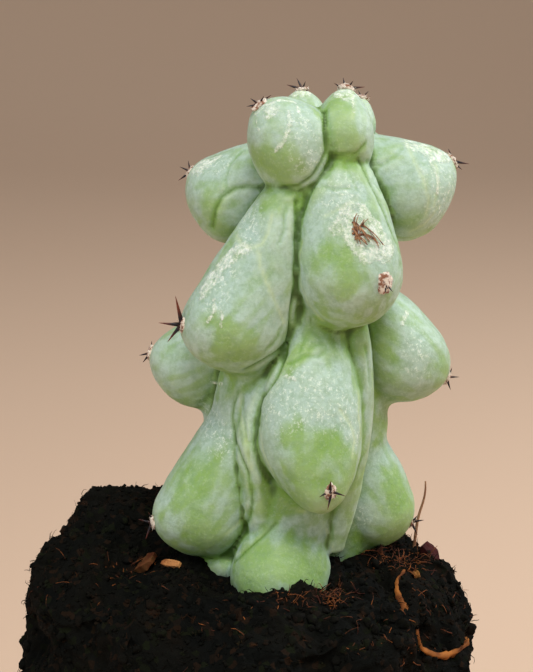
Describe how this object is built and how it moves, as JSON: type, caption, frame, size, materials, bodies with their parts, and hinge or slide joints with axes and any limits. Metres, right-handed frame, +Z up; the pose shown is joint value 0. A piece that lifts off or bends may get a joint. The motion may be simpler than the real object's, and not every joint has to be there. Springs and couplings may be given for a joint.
{
  "type": "potted cactus",
  "caption": "Small lumpy blue-green cactus with drooping swollen tubercles and short dark spines, in a block of dark peat in a plain clay pot",
  "frame": {"origin": "centre of the pot's flat underside, on the surface it stands on", "axes": "+Z up along the plant; -Y is the side that the picture shows; +X is the picture's right"},
  "size_m": [0.1016, 0.1016, 0.1946],
  "materials": {
    "cactus_skin": "waxy blue-green skin with a pale bloom, corky cream patches and dark spines",
    "peat": "matt, damp and fibrous, near black",
    "clay": "unglazed matt clay",
    "straw": "dry straw, satin",
    "bark": "rough matt bark",
    "wood_bits": "dry split wood, matt"
  },
  "bodies": {
    "root": {"cactus": "cactus_skin", "soil_ball": "peat", "pot": "clay", "straw_bent": "straw", "straw_upright": "straw", "bark_chip_left": "bark", "bark_chip_right": "bark", "wood_sliver_left": "wood_bits", "wood_sliver_right": "wood_bits"}
  },
  "joints": []
}
